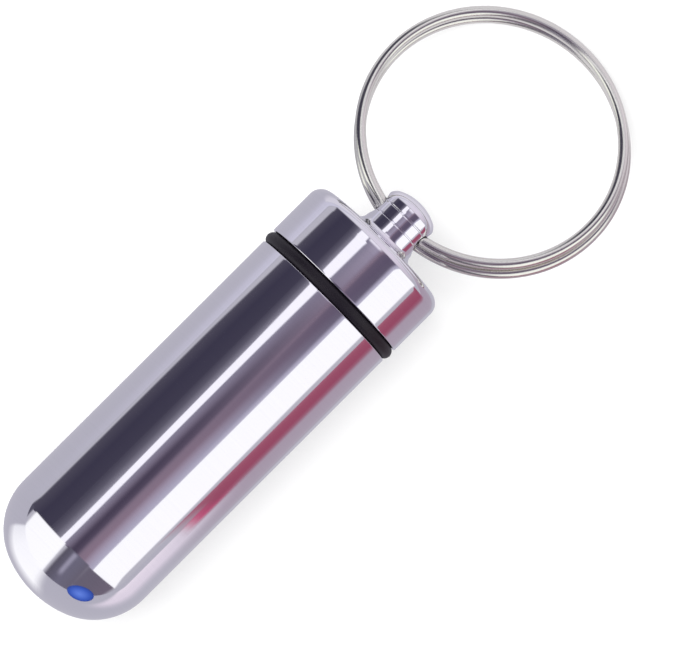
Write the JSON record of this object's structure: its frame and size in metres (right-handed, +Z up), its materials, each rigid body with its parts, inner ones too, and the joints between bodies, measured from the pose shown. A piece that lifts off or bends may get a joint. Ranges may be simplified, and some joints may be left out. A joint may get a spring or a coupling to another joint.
{
  "type": "pill fob keychain",
  "caption": "Turned aluminium pill capsule with a rounded end, rubber seal, screw cap with a cross-drilled knob, and a wire split ring for keys.",
  "frame": {"origin": "middle of the bounding box, on the surface that the capsule and the ring lie on", "axes": "+X along the capsule from its rounded end to the split ring, +Z up from the surface it lies on, +Y to the left seen from the rounded end"},
  "size_m": [0.0772, 0.0282, 0.017],
  "materials": {
    "aluminium": "polished and clear anodised",
    "rubber": "moulded nitrile rubber, satin",
    "plated_wire": "bright nickel plate on spring steel wire"
  },
  "bodies": {
    "capsule": {"body": "aluminium"},
    "seal": {"o_ring": "rubber"},
    "cap": {"screw_cap": "aluminium"},
    "ring": {"split_ring": "plated_wire"}
  },
  "joints": [
    {"name": "cap_turn", "type": "hinge", "parent": "capsule", "child": "seal", "pos_m": [0.00331, 0.00053, 0.0085], "axis": [1, 0, 0], "range_deg": [0, 1440]},
    {"name": "cap_rise", "type": "slide", "parent": "seal", "child": "cap", "axis": [1, 0, 0], "range_m": [0, 0.004]},
    {"name": "ring_swing", "type": "hinge", "parent": "cap", "child": "ring", "pos_m": [0.01261, 0.00053, 0.0085], "axis": [0, -1, 0], "range_deg": [-104, 136]}
  ],
  "couplings": [
    {"joint": "cap_rise", "follows": "cap_turn", "m_per_rad": 0.00015915}
  ]
}
